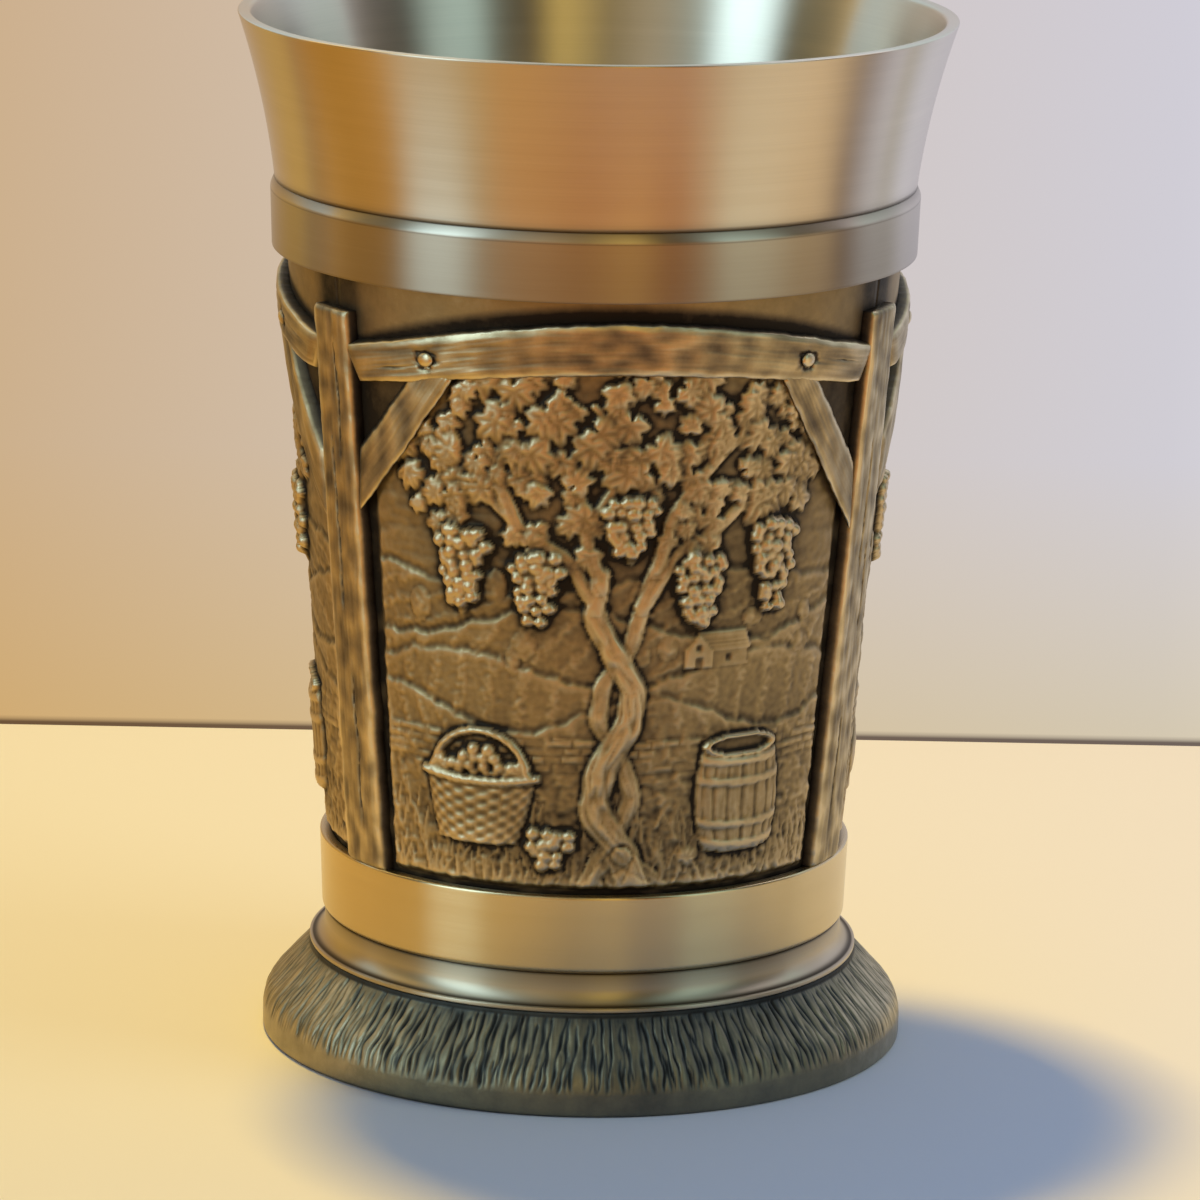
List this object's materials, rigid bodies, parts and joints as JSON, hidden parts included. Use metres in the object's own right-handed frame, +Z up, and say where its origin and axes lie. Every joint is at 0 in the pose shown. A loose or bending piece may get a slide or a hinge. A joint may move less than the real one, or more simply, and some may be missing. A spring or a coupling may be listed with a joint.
{
  "type": "pewter cup",
  "caption": "Straight tapered pewter beaker with a flared lip, a cast relief sleeve between two smooth bands and a flared, ridged foot, for drinking and display.",
  "frame": {"origin": "on the table under the middle of the cup", "axes": "+Z up along the cup's axis, -Y towards the middle of relief_panel_1"},
  "size_m": [0.072, 0.072, 0.1049],
  "materials": {
    "turned_pewter": "turned pewter, satin, with fine lines round the cup",
    "cast_pewter": "cast pewter, dark patina in the hollows, rubbed bright on the high places",
    "foot_pewter": "cast pewter with fine ridges down the slope, dark between them, smooth edge"
  },
  "bodies": {
    "root": {"inner_cup": "turned_pewter", "upper_band": "turned_pewter", "relief_panel_1": "cast_pewter", "relief_panel_2": "cast_pewter", "relief_panel_3": "cast_pewter", "frame_post_1": "cast_pewter", "frame_post_2": "cast_pewter", "frame_post_3": "cast_pewter", "lower_band": "turned_pewter", "foot_collar": "turned_pewter", "foot_skirt": "foot_pewter", "base_plate": "turned_pewter"}
  },
  "joints": []
}
